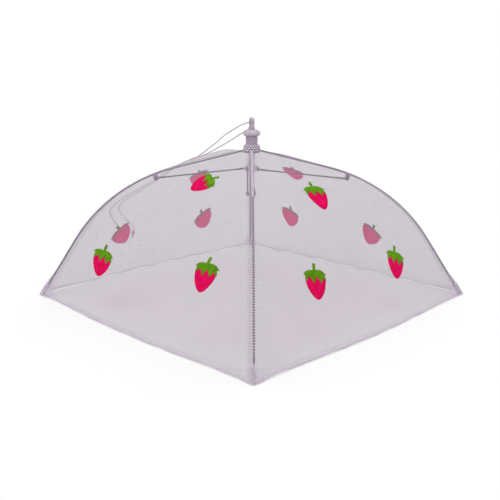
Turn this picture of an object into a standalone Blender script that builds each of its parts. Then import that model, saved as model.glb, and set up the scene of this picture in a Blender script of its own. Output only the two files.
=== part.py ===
"""Mesh food cover that opens and folds like a small umbrella.

Four bent wire ribs hinge on a plastic hub and stand on capped tips. A stretcher joins each rib
to a runner under the hub. The runner rests above the brackets, past dead centre, and so holds
the cover open. A net panel spans each pair of ribs, in two halves that meet on its fold line.
The cover stands on z = 0, its hub's axis is Z, and its ribs point along -Y, +X, +Y and -X.
"""
import math

import bmesh
import bpy
from mathutils import Matrix, Vector

MM = 0.001

# Clearances and build values
GAP = 0.3 * MM
CUT_OVERRUN = 2.0 * MM
MERGE_DISTANCE = 0.01 * MM
TURN_STEPS = 40
PIN_STEPS = 16
ROUND_POINTS = 12
WIRE_BEVEL_RESOLUTION = 2

# Ribs: a straight run from the hub, one bend, and a straight run to the tip
RIB_NAMES = ("front", "right", "back", "left")
RIB_WIRE_DIAMETER = 1.8 * MM
RIB_PIVOT_RADIUS = 8.0 * MM
RIB_START_SLOPE = math.radians(13.9)
RIB_END_SLOPE = math.radians(57.0)
RIB_INNER_RUN = 83.0 * MM
RIB_BEND_RADIUS = 196.0 * MM
RIB_OUTER_RUN = 79.0 * MM
RIB_BEND_POINTS = 14
RIB_EYE_DIAMETER = 3.6 * MM
RIB_EYE_THICKNESS = 1.6 * MM

# Tip caps: a socket over the end of the wire and a ball cut flat on the table
CAP_DIAMETER = 4.4 * MM
CAP_LENGTH = 14.0 * MM
CAP_RIM_DIAMETER = 3.8 * MM
BALL_DIAMETER = 5.4 * MM
FOOT_FLAT_DEPTH = 0.5 * MM
CAP_END_WALL = 1.0 * MM
BALL_POINTS = 9

# Brackets: clips that hang under the ribs, and the rivets through them
BRACKET_AT = 107.0 * MM
BRACKET_DROP = 5.5 * MM
BRACKET_LENGTH = 4.6 * MM
BRACKET_WIDTH = 5.4 * MM
BRACKET_TOP = 0.6 * MM
RIVET_DIAMETER = 1.2 * MM
RIVET_HEAD_DIAMETER = 3.0 * MM
RIVET_HEAD_THICKNESS = 0.6 * MM
RIVET_COLLAR_DIAMETER = 2.4 * MM

# Stretchers: wires beside the ribs, with a flat eye and a crimped sleeve at each end
STRETCHER_WIRE_DIAMETER = 1.6 * MM
STRETCHER_OFFSET = 4.9 * MM
STRETCHER_EYE_DIAMETER = 3.4 * MM
STRETCHER_EYE_THICKNESS = 1.2 * MM
SLEEVE_DIAMETER = 2.1 * MM
SLEEVE_START = 4.5 * MM
SLEEVE_LENGTH = 5.0 * MM
SLEEVE_TAPER = 1.0 * MM

# Runner: a slotted disc above the level of the brackets
RUNNER_PIVOT_RADIUS = 6.5 * MM
RUNNER_RISE = 11.0 * MM
RUNNER_DIAMETER = 18.0 * MM
RUNNER_ABOVE_PIVOT = 3.0 * MM
RUNNER_BELOW_PIVOT = 2.2 * MM
RUNNER_SLOT_WIDTH = 2.7 * MM
RUNNER_SLOT_INNER_END = 1.6 * MM
RUNNER_CHAMFER = 0.6 * MM
CORD_BORE_DIAMETER = 2.6 * MM

# Hub crown: a flared skirt under a straight neck, with slots for the rib eyes
TIE_WIRE_DIAMETER = 1.0 * MM
SKIRT_DIAMETER = 21.3 * MM
SKIRT_RIM_DIAMETER = 19.4 * MM
SKIRT_TOP_DIAMETER = 16.6 * MM
SKIRT_WIDEST_ABOVE_PIVOT = 1.6 * MM
SKIRT_TOP_ABOVE_PIVOT = 5.8 * MM
CROWN_BOTTOM_BELOW_PIVOT = 2.4 * MM
NECK_DIAMETER = 13.7 * MM
NECK_HEIGHT = 9.8 * MM
CROWN_SLOT_INNER_RADIUS = 5.6 * MM
CROWN_EDGE = 0.5 * MM

# Hub cap: the umbrella-shaped flange on the neck
FLANGE_DIAMETER = 19.6 * MM
FLANGE_RIM_HEIGHT = 3.3 * MM
FLANGE_DOME_HEIGHT = 4.4 * MM
FLANGE_DOME_POINTS = 5
FLANGE_TOP_DIAMETER = 8.0 * MM
FLANGE_UNDERCUT = 1.3 * MM

# Finial: the stub on top, whose cross hole lets out the pull cord
FINIAL_DIAMETER = 6.3 * MM
FINIAL_BASE_DIAMETER = 7.2 * MM
FINIAL_HEIGHT = 13.1 * MM
FINIAL_GROOVE_DEPTH = 0.5 * MM
FINIAL_GROOVE_WIDTH = 1.2 * MM
FINIAL_GROOVE_AT = 4.6 * MM
FINIAL_DOME_HEIGHT = 3.0 * MM
DOME_POINTS = 5
STEM_DIAMETER = 5.6 * MM
STEM_LENGTH = 13.5 * MM
CROSS_HOLE_DIAMETER = 2.0 * MM
CROSS_HOLE_AT = 7.4 * MM
CROSS_HOLE_TURN = math.radians(60)

# Net: shells over the ribs, in halves from a rib to the panel's fold line
NET_THICKNESS = 0.8 * MM
NET_LIFT_SHARE = 1.3
NET_HUB_CLEARANCE = 0.35 * MM
NET_SEAM_GAP = 0.5 * MM
NET_FOLD_GAP = 0.15 * MM
NET_ROWS = 16
NET_COLUMNS = 9
NET_ROUND_SHARE = 0.10
NET_STEP_SHARE = 0.01
NET_BULGE = 8.0 * MM
NET_BULGE_RISE_SHARE = 0.2
HEM_HEIGHT = 0.7 * MM
HEM_BOW = 2.0 * MM
HEM_POWER = 6
HEM_TIP_POWER = 4

# Pull cord: both strands leave the finial's cross hole, then lie on the net beside the left rib.
# Free runs go from the hole's centre, in x, y, z. Laid runs are shares across and down the net.
CORD_DIAMETER = 1.2 * MM
CORD_STEP = 3.4 * MM
CORD_NET_GAP = 0.5 * MM
CORD_STEPS_PER_SPAN = 16
CORD_FREE_RUNS = (
    (
        (-0.45, -0.8, 0),
        (-1.7, -2.95, 0),
        (-2.5, -3.85, 0),
        (-3.6, -4.3, 0),
        (-4.9, -4.2, -0.1),
        (-9, -1.9, -1.6),
        (-16.3, 3.5, -5.6),
        (-31, 11, -15.3),
        (-42, 16.5, -25),
    ),
    (
        (0.45, 0.8, 0),
        (1.7, 2.95, -0.1),
        (2.2, 4.4, -0.8),
        (1.85, 5.7, -2.0),
        (0.7, 6.7, -3.7),
        (-1.2, 7.2, -5.8),
        (-4.2, 7.2, -8.1),
        (-8, 7.6, -10.6),
        (-16.3, 9.5, -16),
        (-31, 13.2, -25.4),
    ),
)
CORD_LAID_RUNS = (
    (
        (0.5, 0.255),
        (0.5, 0.31),
        (0.5, 0.363),
        (0.47, 0.43),
        (0.39, 0.488),
        (0.28, 0.525),
        (0.19, 0.562),
        (0.18, 0.6),
        (0.29, 0.645),
        (0.41, 0.688),
    ),
    (
        (0.42, 0.2),
        (0.44, 0.27),
        (0.45, 0.335),
        (0.42, 0.405),
        (0.34, 0.468),
        (0.23, 0.508),
        (0.13, 0.55),
        (0.11, 0.605),
        (0.22, 0.662),
        (0.36, 0.712),
    ),
)
KNOT_PLACE = (0.53, 0.745)
KNOT_ENTRIES = ((0.515, 0.722), (0.49, 0.738))
KNOT_DIAMETER = 5.0 * MM
KNOT_HEIGHT = 5.6 * MM
KNOT_SEGMENTS = 16
KNOT_RINGS = 10

# Draw cord: the two strands inside the cover, from the cross hole to a knot under the runner
DRAW_CORD_DIAMETER = 1.8 * MM
STOP_KNOT_DIAMETER = 4.6 * MM
STOP_KNOT_HEIGHT = 3.4 * MM

# Colours: red, green, blue and roughness and metallic
PLASTIC = (0.42, 0.36, 0.42, 0.5, 0.0)
WIRE = (0.12, 0.11, 0.13, 0.4, 0.9)
RIVET_METAL = (0.30, 0.29, 0.31, 0.35, 1.0)
NET = (0.62, 0.58, 0.63, 0.9, 0.0)
CORD = (0.78, 0.76, 0.76, 0.85, 0.0)


def clear_scene():
    for old in list(bpy.data.objects):
        bpy.data.objects.remove(old, do_unlink=True)


def make_material(name, look):
    material = bpy.data.materials.new(name)
    material.use_nodes = True
    shader = material.node_tree.nodes["Principled BSDF"]
    shader.inputs["Base Color"].default_value = (look[0], look[1], look[2], 1.0)
    shader.inputs["Roughness"].default_value = look[3]
    shader.inputs["Metallic"].default_value = look[4]
    return material


def make_collection(name):
    collection = bpy.data.collections.new(name)
    bpy.context.scene.collection.children.link(collection)
    return collection


def add_object(name, data, collection):
    thing = bpy.data.objects.new(name, data)
    collection.objects.link(thing)
    return thing


def move_to(thing, collection):
    for old in list(thing.users_collection):
        old.objects.unlink(thing)
    collection.objects.link(thing)
    return thing


def profile_mesh(name, points, closed):
    """A turned shape's profile in the XZ plane, from (radius, height) pairs."""
    mesh = bpy.data.meshes.new(name)
    edges = [(i, i + 1) for i in range(len(points) - 1)]
    if closed:
        edges.append((len(points) - 1, 0))
    mesh.from_pydata([(r, 0.0, z) for r, z in points], edges, [])
    return mesh


def turned(name, points, steps, closed):
    """Turns a profile about Z. A closed profile goes round a bore."""
    thing = add_object(name, profile_mesh(name, points, closed), scratch)
    screw = thing.modifiers.new("turn", "SCREW")
    screw.steps = screw.render_steps = steps
    screw.use_merge_vertices = True
    screw.merge_threshold = MERGE_DISTANCE
    return thing


def wire_curve(name, points, diameter):
    """A round wire through the points, with closed ends."""
    data = bpy.data.curves.new(name, "CURVE")
    data.dimensions = "3D"
    data.bevel_depth = diameter / 2
    data.bevel_resolution = WIRE_BEVEL_RESOLUTION
    data.use_fill_caps = True
    spline = data.splines.new("POLY")
    spline.points.add(len(points) - 1)
    for place, point in zip(spline.points, points):
        place.co = (*point, 1.0)
    return add_object(name, data, scratch)


def baked(thing, matrix=None):
    """The evaluated mesh of an object, welded and moved by its own matrix and a further one."""
    bpy.context.view_layer.update()
    graph = bpy.context.evaluated_depsgraph_get()
    mesh = bpy.data.meshes.new_from_object(thing.evaluated_get(graph))
    mesh.transform(thing.matrix_world)
    if matrix is not None:
        mesh.transform(matrix)
    work = bmesh.new()
    work.from_mesh(mesh)
    bmesh.ops.remove_doubles(work, verts=work.verts, dist=MERGE_DISTANCE)
    bmesh.ops.recalc_face_normals(work, faces=work.faces)
    work.to_mesh(mesh)
    work.free()
    name = thing.name
    bpy.data.objects.remove(thing, do_unlink=True)
    return add_object(name, mesh, scratch)


def combine(thing, other, operation):
    """Applies one exact Boolean and removes the object that it used."""
    bpy.context.view_layer.update()
    boolean = thing.modifiers.new(operation.lower(), "BOOLEAN")
    boolean.operation = operation
    boolean.solver = "EXACT"
    boolean.object = other
    result = baked(thing)
    bpy.data.objects.remove(other, do_unlink=True)
    return result


def cylinder(name, diameter, length, centre, axis="Z", segments=PIN_STEPS):
    bpy.ops.mesh.primitive_cylinder_add(
        vertices=segments, radius=diameter / 2, depth=length, location=centre
    )
    thing = move_to(bpy.context.object, scratch)
    thing.name = name
    quarter = math.pi / 2
    thing.rotation_euler = {"X": (0, quarter, 0), "Y": (quarter, 0, 0), "Z": (0, 0, 0)}[axis]
    return baked(thing)


def box(name, low, high):
    bpy.ops.mesh.primitive_cube_add(size=1)
    thing = move_to(bpy.context.object, scratch)
    thing.name = name
    thing.scale = [b - a for a, b in zip(low, high)]
    thing.location = [(a + b) / 2 for a, b in zip(low, high)]
    return baked(thing)


def prism(name, outline, low, high):
    """A flat outline of (x, z) corners, made solid between two values of y."""
    mesh = bpy.data.meshes.new(name)
    count = len(outline)
    corners = [(x, low, z) for x, z in outline] + [(x, high, z) for x, z in outline]
    sides = [(i, (i + 1) % count, count + (i + 1) % count, count + i) for i in range(count)]
    ends = [tuple(range(count)), tuple(range(2 * count - 1, count - 1, -1))]
    mesh.from_pydata(corners, [], sides + ends)
    return baked(add_object(name, mesh, scratch))


def torus(name, diameter, wire_diameter, centre, big_segments, small_segments):
    bpy.ops.mesh.primitive_torus_add(
        major_radius=diameter / 2,
        minor_radius=wire_diameter / 2,
        major_segments=big_segments,
        minor_segments=small_segments,
        location=centre,
    )
    thing = move_to(bpy.context.object, scratch)
    thing.name = name
    return baked(thing)


def finish(name, mesh, look, collection, parent=None, smooth_angle=math.radians(40)):
    """Places one sub-part with its own material, on its parent's axis."""
    thing = add_object(name, mesh, collection)
    thing.data.materials.clear()
    thing.data.materials.append(make_material(name, look))
    thing.data.shade_smooth()
    thing.data.set_sharp_from_angle(angle=smooth_angle)
    thing.parent = parent
    return thing


def share(thing):
    """Takes the mesh of a scratch object, so that copies can use it, and removes the object."""
    mesh = thing.data
    bpy.data.objects.remove(thing, do_unlink=True)
    return mesh


# The rib's centreline: distance from the hub's axis, height below the pivot, and slope

RIB_BEND_RUN = RIB_BEND_RADIUS * (RIB_END_SLOPE - RIB_START_SLOPE)
RIB_LENGTH = RIB_INNER_RUN + RIB_BEND_RUN + RIB_OUTER_RUN


def rib_point(run):
    """Radius, height from the pivot and slope of the rib after this run of wire."""
    inner = min(run, RIB_INNER_RUN)
    bend = min(max(run - RIB_INNER_RUN, 0), RIB_BEND_RUN)
    outer = max(run - RIB_INNER_RUN - RIB_BEND_RUN, 0)
    slope = RIB_START_SLOPE + bend / RIB_BEND_RADIUS
    radius = RIB_PIVOT_RADIUS + inner * math.cos(RIB_START_SLOPE) + outer * math.cos(RIB_END_SLOPE)
    radius += RIB_BEND_RADIUS * (math.sin(slope) - math.sin(RIB_START_SLOPE))
    height = -inner * math.sin(RIB_START_SLOPE) - outer * math.sin(RIB_END_SLOPE)
    height += RIB_BEND_RADIUS * (math.cos(slope) - math.cos(RIB_START_SLOPE))
    return radius, height, slope


TIP_RADIUS, TIP_HEIGHT, _ = rib_point(RIB_LENGTH)
PIVOT_HEIGHT = -TIP_HEIGHT + BALL_DIAMETER / 2 - FOOT_FLAT_DEPTH


def rib_frame(run):
    """Matrix at a run along the rib: X down the wire, Y to its side, Z away from the inside."""
    radius, height, slope = rib_point(run)
    place = Matrix.Translation((radius - RIB_PIVOT_RADIUS, 0, height))
    return place @ Matrix.Rotation(slope, 4, "Y")


def bracket_pivot():
    """The rivet's axis in the rib's plane, from the rib's own pivot."""
    place = rib_frame(BRACKET_AT) @ Vector((0, 0, -BRACKET_DROP))
    return place.x, place.z


def runner_pivot():
    """The runner's end of a stretcher in the rib's plane, from the rib's own pivot."""
    return RUNNER_PIVOT_RADIUS - RIB_PIVOT_RADIUS, bracket_pivot()[1] + RUNNER_RISE


def stretcher_shape():
    """Length of a stretcher between its pivots, and its slope up towards the runner."""
    across = bracket_pivot()[0] - runner_pivot()[0]
    return math.hypot(across, RUNNER_RISE), math.atan2(RUNNER_RISE, across)


RUNNER_HEIGHT = PIVOT_HEIGHT + runner_pivot()[1]


def rib_mesh():
    start = RIB_EYE_DIAMETER / 3
    end = RIB_LENGTH - CAP_END_WALL
    runs = [start, RIB_INNER_RUN]
    runs += [
        RIB_INNER_RUN + RIB_BEND_RUN * (i + 1) / RIB_BEND_POINTS for i in range(RIB_BEND_POINTS)
    ]
    runs.append(end)
    points = [rib_frame(run).translation for run in runs]
    wire = baked(wire_curve("rib_wire", points, RIB_WIRE_DIAMETER))
    eye = cylinder("rib_eye", RIB_EYE_DIAMETER, RIB_EYE_THICKNESS, (0, 0, 0), "Y")
    wire = combine(wire, eye, "UNION")
    hole_length = RIB_EYE_THICKNESS + CUT_OVERRUN
    hole = cylinder("rib_eye_hole", TIE_WIRE_DIAMETER + 2 * GAP, hole_length, (0, 0, 0), "Y")
    return share(combine(wire, hole, "DIFFERENCE"))


def tip_cap_mesh():
    """A turned sleeve with a ball end, on the end of the rib, cut flat where it stands."""
    ball = BALL_DIAMETER / 2
    sleeve = CAP_DIAMETER / 2
    socket = RIB_WIRE_DIAMETER / 2 + GAP
    meets = math.asin(sleeve / ball)
    profile = [(0, CAP_END_WALL - GAP), (socket, CAP_END_WALL - GAP)]
    profile += [(socket, CAP_LENGTH), (CAP_RIM_DIAMETER / 2, CAP_LENGTH)]
    profile.append((sleeve, CAP_LENGTH - (sleeve - socket)))
    for i in range(BALL_POINTS):
        turn = meets + (math.pi - meets) * i / (BALL_POINTS - 1)
        profile.append((ball * math.sin(turn) if i < BALL_POINTS - 1 else 0, ball * math.cos(turn)))
    cap = turned("tip_cap", profile, PIN_STEPS, closed=False)
    along = rib_frame(RIB_LENGTH) @ Matrix.Rotation(-math.pi / 2, 4, "Y")
    cap = baked(cap, along)
    floor = TIP_HEIGHT - ball + FOOT_FLAT_DEPTH
    tip_x = TIP_RADIUS - RIB_PIVOT_RADIUS
    low = (tip_x - BALL_DIAMETER, -BALL_DIAMETER, floor - CUT_OVERRUN)
    high = (tip_x + BALL_DIAMETER, BALL_DIAMETER, floor)
    return share(combine(cap, box("floor_cut", low, high), "DIFFERENCE"))


def bracket_mesh():
    """A clip open over the wire, rounded about the rivet under it."""
    half_length, half_width = BRACKET_LENGTH / 2, BRACKET_WIDTH / 2
    outline = [(half_length, BRACKET_TOP), (-half_length, BRACKET_TOP)]
    for i in range(ROUND_POINTS + 1):
        turn = math.pi * i / ROUND_POINTS
        drop = -BRACKET_DROP - half_length * math.sin(turn)
        outline.append((-half_length * math.cos(turn), drop))
    body = prism("bracket", outline, -half_width, half_width)
    groove = RIB_WIRE_DIAMETER / 2 + GAP
    groove_low = (-half_length - CUT_OVERRUN, -groove, -groove)
    groove_high = (half_length + CUT_OVERRUN, groove, BRACKET_TOP + CUT_OVERRUN)
    body = combine(body, box("groove", groove_low, groove_high), "DIFFERENCE")
    hole_length = BRACKET_WIDTH + CUT_OVERRUN
    hole = cylinder("hole", RIVET_DIAMETER + 2 * GAP, hole_length, (0, 0, -BRACKET_DROP), "Y")
    body = combine(body, hole, "DIFFERENCE")
    return share(baked(body, rib_frame(BRACKET_AT)))


def rivet_mesh():
    """A shank through bracket and stretcher eye, with a collar between and a head outside each."""
    shank, head, collar = RIVET_DIAMETER / 2, RIVET_HEAD_DIAMETER / 2, RIVET_COLLAR_DIAMETER / 2
    collar_low = BRACKET_WIDTH / 2 + GAP
    collar_high = STRETCHER_OFFSET - STRETCHER_EYE_THICKNESS / 2 - GAP
    low = -BRACKET_WIDTH / 2 - GAP
    high = STRETCHER_OFFSET + STRETCHER_EYE_THICKNESS / 2 + GAP
    thick = RIVET_HEAD_THICKNESS
    profile = [(0, high + thick), (head, high + thick), (head, high), (shank, high)]
    profile += [(shank, collar_high), (collar, collar_high), (collar, collar_low)]
    profile += [(shank, collar_low), (shank, low), (head, low), (head, low - thick)]
    profile.append((0, low - thick))
    rivet = turned("rivet", profile, PIN_STEPS, closed=False)
    across = Matrix.Rotation(math.pi / 2, 4, "X")
    place = rib_frame(BRACKET_AT) @ Matrix.Translation((0, 0, -BRACKET_DROP))
    return share(baked(rivet, place @ across))


def stretcher_mesh():
    """Along +X from the rivet to the runner, beside the rib's plane."""
    length, _ = stretcher_shape()
    wire, sleeve = STRETCHER_WIRE_DIAMETER / 2, SLEEVE_DIAMETER / 2
    inset = STRETCHER_EYE_DIAMETER / 3
    sleeve_end = SLEEVE_START + SLEEVE_LENGTH
    half = [
        (0, inset),
        (wire, inset),
        (wire, SLEEVE_START - SLEEVE_TAPER),
        (sleeve, SLEEVE_START),
        (sleeve, sleeve_end),
        (wire, sleeve_end + SLEEVE_TAPER),
    ]
    profile = [(r, length - x) for r, x in half] + [(r, x) for r, x in reversed(half)]
    rod = turned("stretcher", profile, PIN_STEPS, closed=False)
    aside = Matrix.Translation((0, -STRETCHER_OFFSET, 0))
    rod = baked(rod, aside @ Matrix.Rotation(math.pi / 2, 4, "Y"))
    hole_length = STRETCHER_EYE_THICKNESS + CUT_OVERRUN
    hole_diameter = RIVET_DIAMETER + 2 * GAP
    for x in (0, length):
        centre = (x, -STRETCHER_OFFSET, 0)
        eye = cylinder("eye", STRETCHER_EYE_DIAMETER, STRETCHER_EYE_THICKNESS, centre, "Y")
        rod = combine(rod, eye, "UNION")
        hole = cylinder("eye_hole", hole_diameter, hole_length, centre, "Y")
        rod = combine(rod, hole, "DIFFERENCE")
    return share(rod)


def runner_mesh():
    """A disc with a slot for each stretcher, set to one side of each rib's plane."""
    rim, bore = RUNNER_DIAMETER / 2, CORD_BORE_DIAMETER / 2
    top, bottom, edge = RUNNER_ABOVE_PIVOT, -RUNNER_BELOW_PIVOT, RUNNER_CHAMFER
    profile = [(bore, top), (rim - edge, top), (rim, top - edge)]
    profile += [(rim, bottom + edge), (rim - edge, bottom), (bore, bottom)]
    runner = baked(turned("runner", profile, TURN_STEPS, closed=True))
    half = RUNNER_SLOT_WIDTH / 2
    for index in range(len(RIB_NAMES)):
        low = (RUNNER_SLOT_INNER_END, -STRETCHER_OFFSET - half, bottom - CUT_OVERRUN)
        high = (rim + CUT_OVERRUN, -STRETCHER_OFFSET + half, top + CUT_OVERRUN)
        slot = baked(box("slot", low, high), Matrix.Rotation(rib_azimuth(index), 4, "Z"))
        runner = combine(runner, slot, "DIFFERENCE")
    return share(runner)


def crown_mesh():
    """Skirt and neck, with a ring groove and four slots open below for the rib eyes."""
    bore, socket = CORD_BORE_DIAMETER / 2, STEM_DIAMETER / 2 + GAP
    bottom = -CROWN_BOTTOM_BELOW_PIVOT
    neck_top = SKIRT_TOP_ABOVE_PIVOT + NECK_HEIGHT
    socket_floor = FINIAL_SEAT - STEM_LENGTH - GAP
    groove_half = TIE_WIRE_DIAMETER / 2 + GAP
    groove_top = TIE_WIRE_DIAMETER / 2 + GAP
    profile = [
        (socket, neck_top),
        (NECK_DIAMETER / 2, neck_top),
        (NECK_DIAMETER / 2, SKIRT_TOP_ABOVE_PIVOT + CROWN_EDGE),
        (SKIRT_TOP_DIAMETER / 2, SKIRT_TOP_ABOVE_PIVOT),
        (SKIRT_DIAMETER / 2, SKIRT_WIDEST_ABOVE_PIVOT + CROWN_EDGE),
        (SKIRT_DIAMETER / 2, SKIRT_WIDEST_ABOVE_PIVOT - CROWN_EDGE),
        (SKIRT_RIM_DIAMETER / 2, bottom),
        (RIB_PIVOT_RADIUS + groove_half, bottom),
        (RIB_PIVOT_RADIUS + groove_half, groove_top),
        (RIB_PIVOT_RADIUS - groove_half, groove_top),
        (RIB_PIVOT_RADIUS - groove_half, bottom),
        (bore, bottom),
        (bore, socket_floor),
        (socket, socket_floor),
    ]
    crown = baked(turned("hub_crown", profile, TURN_STEPS, closed=True))
    half = RIB_EYE_THICKNESS / 2 + GAP
    for index in range(len(RIB_NAMES)):
        low = (CROWN_SLOT_INNER_RADIUS, -half, bottom - CUT_OVERRUN)
        high = (SKIRT_DIAMETER, half, RIB_EYE_DIAMETER / 2 + GAP)
        slot = baked(box("slot", low, high), Matrix.Rotation(rib_azimuth(index), 4, "Z"))
        crown = combine(crown, slot, "DIFFERENCE")
    return share(crown)


FLANGE_BOTTOM = SKIRT_TOP_ABOVE_PIVOT + NECK_HEIGHT + GAP
FLANGE_TOP = FLANGE_BOTTOM + FLANGE_RIM_HEIGHT + FLANGE_DOME_HEIGHT
FINIAL_SEAT = FLANGE_TOP + GAP


def flange_mesh():
    """The umbrella-shaped cap that sits on the neck."""
    bore = STEM_DIAMETER / 2 + GAP
    rim, rim_top = FLANGE_DIAMETER / 2, FLANGE_BOTTOM + FLANGE_RIM_HEIGHT
    top = FLANGE_TOP_DIAMETER / 2
    profile = [(bore, FLANGE_TOP)]
    for i in range(FLANGE_DOME_POINTS + 1):
        turn = math.pi / 2 * i / FLANGE_DOME_POINTS
        radius = top + (rim - top) * math.sin(turn)
        profile.append((radius, rim_top + FLANGE_DOME_HEIGHT * math.cos(turn)))
    profile += [
        (rim, FLANGE_BOTTOM + FLANGE_UNDERCUT + CROWN_EDGE),
        (rim - CROWN_EDGE, FLANGE_BOTTOM + FLANGE_UNDERCUT),
        (NECK_DIAMETER / 2 + CROWN_EDGE, FLANGE_BOTTOM),
        (bore, FLANGE_BOTTOM),
    ]
    return share(baked(turned("hub_cap", profile, TURN_STEPS, closed=True)))


def finial_mesh():
    """A domed stub with a ring groove, on a stem that the cord runs down inside."""
    outer, base = FINIAL_DIAMETER / 2, FINIAL_BASE_DIAMETER / 2
    stem, bore = STEM_DIAMETER / 2, CORD_BORE_DIAMETER / 2
    top = FINIAL_SEAT + FINIAL_HEIGHT
    shoulder = top - FINIAL_DOME_HEIGHT
    groove = FINIAL_SEAT + FINIAL_GROOVE_AT
    profile = [(0, top)]
    for i in range(1, DOME_POINTS + 1):
        turn = math.pi / 2 * i / DOME_POINTS
        profile.append((outer * math.sin(turn), shoulder + FINIAL_DOME_HEIGHT * math.cos(turn)))
    profile += [
        (outer, groove + FINIAL_GROOVE_WIDTH / 2 + FINIAL_GROOVE_DEPTH),
        (outer - FINIAL_GROOVE_DEPTH, groove + FINIAL_GROOVE_WIDTH / 2),
        (outer - FINIAL_GROOVE_DEPTH, groove - FINIAL_GROOVE_WIDTH / 2),
        (outer, groove - FINIAL_GROOVE_WIDTH / 2 - FINIAL_GROOVE_DEPTH),
        (base, FINIAL_SEAT),
        (stem, FINIAL_SEAT),
        (stem, FINIAL_SEAT - STEM_LENGTH),
        (bore, FINIAL_SEAT - STEM_LENGTH),
        (bore, FINIAL_SEAT + CROSS_HOLE_AT),
        (0, FINIAL_SEAT + CROSS_HOLE_AT),
    ]
    finial = baked(turned("finial", profile, TURN_STEPS, closed=False))
    centre = (0, 0, FINIAL_SEAT + CROSS_HOLE_AT)
    hole = cylinder("cross_hole", CROSS_HOLE_DIAMETER, FINIAL_DIAMETER + CUT_OVERRUN, centre, "X")
    hole = baked(hole, Matrix.Rotation(CROSS_HOLE_TURN, 4, "Z"))
    return share(combine(finial, hole, "DIFFERENCE"))


def smooth_step(value):
    value = min(max(value, 0), 1)
    return value * value * (3 - 2 * value)


NET_TOP_RADIUS = SKIRT_DIAMETER / 2 + NET_HUB_CLEARANCE + NET_THICKNESS / 2
NET_TOP_RUN = (NET_TOP_RADIUS - RIB_PIVOT_RADIUS) / math.cos(RIB_START_SLOPE)


def net_lift(run):
    """Height of the net's middle over the rib's centreline, more where the tip cap is."""
    wire, cap = RIB_WIRE_DIAMETER / 2, BALL_DIAMETER / 2
    ramp = smooth_step((run - (RIB_LENGTH - 2 * CAP_LENGTH)) / CAP_LENGTH)
    return (wire + (cap - wire) * ramp + GAP) * NET_LIFT_SHARE + NET_THICKNESS / 2


def net_point(across, down):
    """A point of a half panel: across is 0 on the rib and 1 on the fold line, down is 0 at the
    hub and 1 at the hem. X is along the rib from the hub's axis, and Z is from the pivot."""
    run = NET_TOP_RUN + (RIB_LENGTH - NET_TOP_RUN) * down
    radius, height, slope = rib_point(run)
    radius += net_lift(run) * math.sin(slope)
    height += net_lift(run) * math.cos(slope)
    turn = across * math.pi / 4
    straight = radius / (math.cos(turn) + math.sin(turn))
    out = straight + (radius - straight) * max(0, 1 - down / NET_ROUND_SHARE) ** 2
    crest = 1 - (1 - across) ** 2
    bulge = NET_BULGE * smooth_step(down / NET_BULGE_RISE_SHARE) * crest
    lean = math.atan(math.sqrt(2) * math.tan(slope))
    low_share = down**HEM_POWER
    sideways = (bulge * math.sin(lean) + HEM_BOW * low_share * crest) / math.sqrt(2)
    hem = HEM_HEIGHT - PIVOT_HEIGHT
    hem += (height - hem) * (1 - across) ** HEM_TIP_POWER
    height += bulge * math.cos(lean)
    height += (hem - height) * low_share
    fold = NET_FOLD_GAP * across / math.sqrt(2)
    x = out * math.cos(turn) + sideways + fold
    y = out * math.sin(turn) + sideways + NET_SEAM_GAP * (1 - across) - fold
    return x, y, height


def net_mesh(side):
    """Half a panel on one side of a rib, moved to the pivot that the rib turns on."""
    mesh = bpy.data.meshes.new("net")
    work = bmesh.new()
    bmesh.ops.create_grid(work, x_segments=NET_COLUMNS, y_segments=NET_ROWS, size=1)
    for vertex in work.verts:
        across, down = (vertex.co.x + 1) / 2, (vertex.co.y + 1) / 2
        x, y, z = net_point(across, down)
        vertex.co = (x - RIB_PIVOT_RADIUS, (y - RIB_PIVOT_RADIUS) * side, z)
    work.to_mesh(mesh)
    work.free()
    shell = add_object("net", mesh, scratch)
    solidify = shell.modifiers.new("thickness", "SOLIDIFY")
    solidify.thickness = NET_THICKNESS
    solidify.offset = 0
    return share(baked(shell))


def on_net(across, down, lift):
    """A place over the half panel behind the left rib, from the hub's pivot level."""
    step = NET_STEP_SHARE
    point, beside, below = (
        Vector(net_point(a, d)) for a, d in ((across, down), (across + step, down), (across, down + step))
    )
    outward = (below - point).cross(beside - point).normalized()
    place = point + outward * (lift + NET_THICKNESS / 2)
    return Vector((-place.x, place.y, place.z))


def smooth_route(points):
    """A smooth curve through a cord's route points, at even steps."""
    ends = [2 * points[0] - points[1]] + points + [2 * points[-1] - points[-2]]
    curve = [points[0]]
    for a, b, c, d in zip(ends, ends[1:], ends[2:], ends[3:]):
        for step in range(1, CORD_STEPS_PER_SPAN + 1):
            t = step / CORD_STEPS_PER_SPAN
            bend = (2 * a - 5 * b + 4 * c - d) * t**2 + (3 * b - a - 3 * c + d) * t**3
            curve.append((2 * b + (c - a) * t + bend) / 2)
    length = sum((b - a).length for a, b in zip(curve, curve[1:]))
    spacing = length / round(length / CORD_STEP)
    route, walked = [curve[0]], 0
    for a, b in zip(curve, curve[1:]):
        walked += (b - a).length
        if walked >= spacing * len(route):
            route.append(b)
    route[-1] = curve[-1]
    return route


def cord_route(index):
    """One strand, from inside the finial's cross hole to the top of the knot."""
    hole = Vector((0, 0, FINIAL_SEAT + CROSS_HOLE_AT))
    points = [hole + Vector(place) * MM for place in CORD_FREE_RUNS[index]]
    lift = CORD_DIAMETER / 2 + CORD_NET_GAP
    points += [on_net(across, down, lift) for across, down in CORD_LAID_RUNS[index]]
    points.append(on_net(*KNOT_ENTRIES[index], KNOT_DIAMETER / 2))
    return smooth_route(points)


def knot_mesh(diameter, height, centre):
    bpy.ops.mesh.primitive_uv_sphere_add(
        segments=KNOT_SEGMENTS, ring_count=KNOT_RINGS, radius=diameter / 2, location=centre
    )
    knot = move_to(bpy.context.object, scratch)
    knot.scale = (1, 1, height / diameter)
    return share(baked(knot))


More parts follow.
